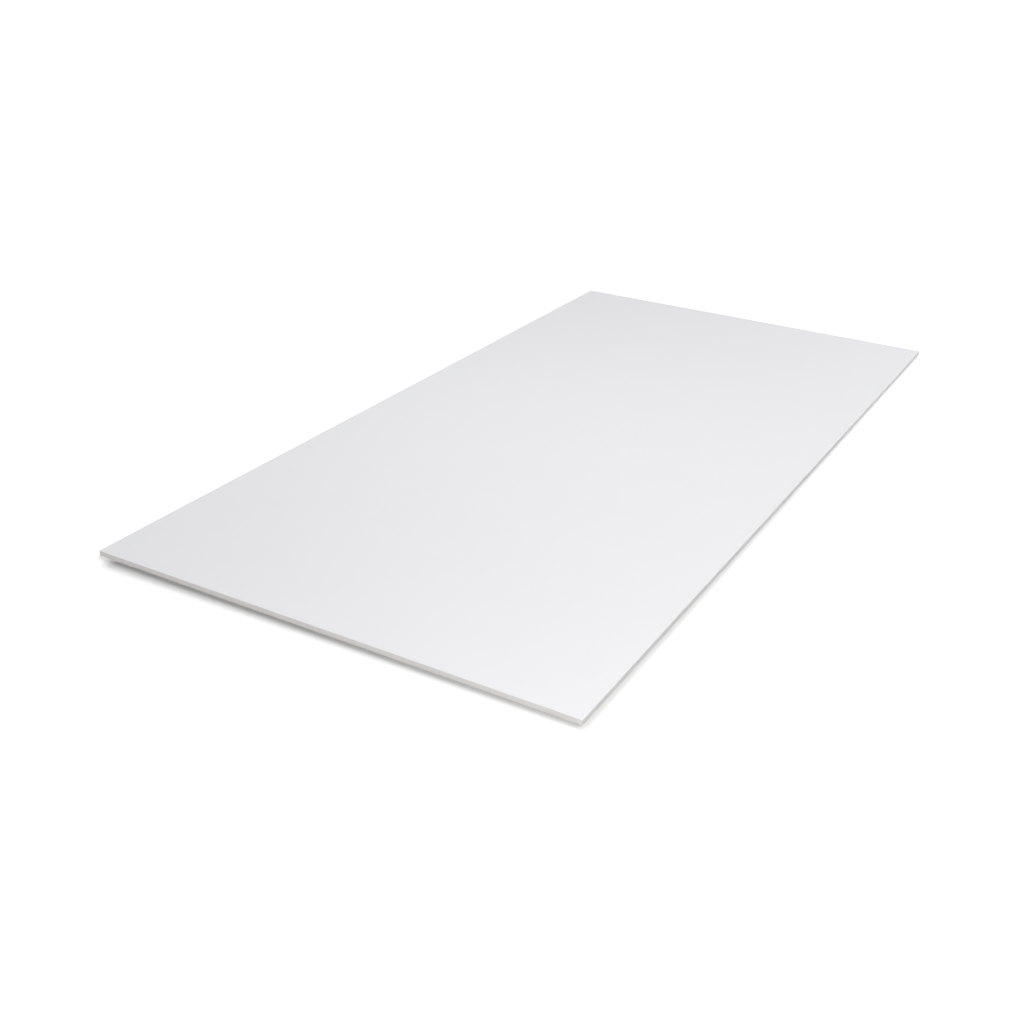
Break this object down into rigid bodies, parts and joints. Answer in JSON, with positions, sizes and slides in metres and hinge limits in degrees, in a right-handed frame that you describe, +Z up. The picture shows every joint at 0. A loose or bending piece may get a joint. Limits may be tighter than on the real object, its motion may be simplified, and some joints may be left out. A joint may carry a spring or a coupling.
{
  "type": "plywood sheet",
  "caption": "Flat rectangular white-primed plywood sheet with square-cut edges and lightly eased arrises, for lining, boxing in and joinery.",
  "frame": {"origin": "middle of the back face, on which the sheet lies", "axes": "+X across the width, +Y along the length, +Z up through the thickness towards the front face"},
  "size_m": [1.2192, 2.4384, 0.0127],
  "materials": {
    "primed_plywood": "smooth white primer, nearly matt on the two faces, and a thinner coat on the square-cut edges, where the plies just show through"
  },
  "bodies": {
    "root": {"plywood_sheet": "primed_plywood"}
  },
  "joints": []
}
